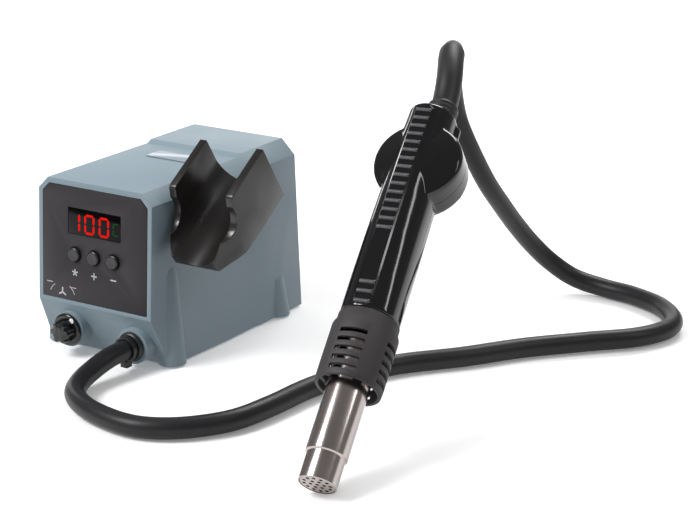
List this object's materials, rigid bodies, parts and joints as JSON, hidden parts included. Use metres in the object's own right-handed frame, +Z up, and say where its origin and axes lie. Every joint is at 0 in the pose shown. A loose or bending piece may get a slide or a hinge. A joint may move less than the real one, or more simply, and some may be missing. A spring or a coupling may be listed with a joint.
{
  "type": "hot air station",
  "caption": "Hot air rework station: a leaning-front control unit with display, buttons, knob and side cradle, and a blower handset with steel barrel on a flexible hose.",
  "frame": {"origin": "middle of the box round the station and its handset, at the surface they stand on; the hose is not measured", "axes": "+X to the right seen from the display side, from the station towards the handset; +Y from the display side to the rear; +Z up"},
  "size_m": [0.3548, 0.4001, 0.2066],
  "materials": {
    "housing_plastic": "blue-grey moulded ABS, fine satin texture",
    "panel_print": "dark grey printed overlay",
    "display_lens": "smoked acrylic lens",
    "display_led": "red digit module",
    "knob_plastic": "glossy black moulded",
    "shaft_steel": "nickel-plated steel",
    "gland_nylon": "black nylon",
    "tie_nylon": "black nylon strap",
    "hose_rubber": "satin black rubber",
    "boot_rubber": "matte black rubber",
    "holder_plastic": "dark brown-black moulded, semi-gloss",
    "magnet_nickel": "nickel-plated magnet",
    "rear_plastic": "black moulded",
    "inlet_plastic": "black moulded",
    "pin_brass": "nickel-brass contact",
    "rocker_red": "red moulded",
    "base_steel": "black painted sheet",
    "foot_rubber": "matte black rubber",
    "screw_zinc": "zinc-plated",
    "button_plastic": "dark grey moulded",
    "switch_body": "black moulded",
    "circuit_board": "green glass-fibre board",
    "transformer_core": "lacquered laminations",
    "heat_sink_alloy": "extruded",
    "label_film": "pale glossy film",
    "handle_plastic": "high-gloss black moulded",
    "grille_plastic": "black moulded",
    "guard_nylon": "matte dark grey heat-proof nylon",
    "barrel_steel": "satin stainless tube",
    "heater_ceramic": null,
    "heater_wire": "oxidised resistance wire",
    "mica_sheet": null,
    "motor_steel": "plated can",
    "impeller_plastic": "pale moulded",
    "reed_glass": "green glass tube"
  },
  "bodies": {
    "station": {"base_plate": "base_steel", "base_screw_1": "screw_zinc", "base_screw_2": "screw_zinc", "base_screw_3": "screw_zinc", "base_screw_4": "screw_zinc", "control_board": "circuit_board", "display_module": "display_led", "display_window": "display_lens", "foot_front_left": "foot_rubber", "foot_front_right": "foot_rubber", "foot_rear_left": "foot_rubber", "foot_rear_right": "foot_rubber", "front_panel": "panel_print", "fuse_holder": "inlet_plastic", "heat_sink": "heat_sink_alloy", "holder_cradle": "holder_plastic", "holder_magnet": "magnet_nickel", "holder_screw_1": "screw_zinc", "holder_screw_2": "screw_zinc", "hose": "hose_rubber", "hose_gland": "gland_nylon", "hose_gland_nut": "gland_nylon", "hose_tie": "tie_nylon", "housing_shell": "housing_plastic", "inlet_pin_earth": "pin_brass", "inlet_pin_live": "pin_brass", "inlet_pin_neutral": "pin_brass", "potentiometer": "shaft_steel", "potentiometer_nut": "shaft_steel", "power_board": "circuit_board", "power_inlet": "inlet_plastic", "rear_panel": "rear_plastic", "switch_frame": "inlet_plastic", "switch_minus": "switch_body", "switch_mode": "switch_body", "switch_plus": "switch_body", "top_label": "label_film", "transformer": "transformer_core"},
    "button_mode": {"button_mode": "button_plastic"},
    "button_plus": {"button_plus": "button_plastic"},
    "button_minus": {"button_minus": "button_plastic"},
    "knob": {"airflow_knob": "knob_plastic", "knob_shaft": "shaft_steel"},
    "rocker": {"power_rocker": "rocker_red"},
    "handset": {"handle_front": "handle_plastic", "handle_back": "handle_plastic", "heat_guard": "guard_nylon", "nozzle_barrel": "barrel_steel", "nozzle_screen": "barrel_steel", "mica_sleeve": "mica_sheet", "heater_core": "heater_ceramic", "heater_coil": "heater_wire", "blower_motor": "motor_steel", "intake_grille": "grille_plastic", "handle_board": "circuit_board", "reed_switch": "reed_glass", "tail_boot": "boot_rubber", "handle_screw_1": "screw_zinc", "handle_screw_2": "screw_zinc"},
    "impeller": {"blower_impeller": "impeller_plastic"}
  },
  "joints": [
    {"name": "mode_press", "type": "slide", "parent": "station", "child": "button_mode", "axis": [0, 0.998, -0.0635], "range_m": [0, 0.0008], "stiffness_N_per_m": 1200, "springref_m": -0.0006},
    {"name": "plus_press", "type": "slide", "parent": "station", "child": "button_plus", "axis": [0, 0.998, -0.0635], "range_m": [0, 0.0008], "stiffness_N_per_m": 1200, "springref_m": -0.0006},
    {"name": "minus_press", "type": "slide", "parent": "station", "child": "button_minus", "axis": [0, 0.998, -0.0635], "range_m": [0, 0.0008], "stiffness_N_per_m": 1200, "springref_m": -0.0006},
    {"name": "knob_turn", "type": "hinge", "parent": "station", "child": "knob", "pos_m": [-0.116, -0.0271, 0.0172], "axis": [0, 1, 0], "range_deg": [-186, 114]},
    {"name": "rocker_tip", "type": "hinge", "parent": "station", "child": "rocker", "pos_m": [-0.0722, 0.1294, 0.036], "axis": [1, 0, 0], "range_deg": [-18, 0]},
    {"name": "handset_lift", "type": "slide", "parent": "station", "child": "handset", "axis": [0, 0, 1], "range_m": [0, 0.08], "deforming": ["hose"]},
    {"name": "impeller_spin", "type": "hinge", "parent": "handset", "child": "impeller", "pos_m": [0.1135, 0.02478, 0.14345], "axis": [-0.1218, 0.6447, -0.7547], "continuous": true}
  ]
}
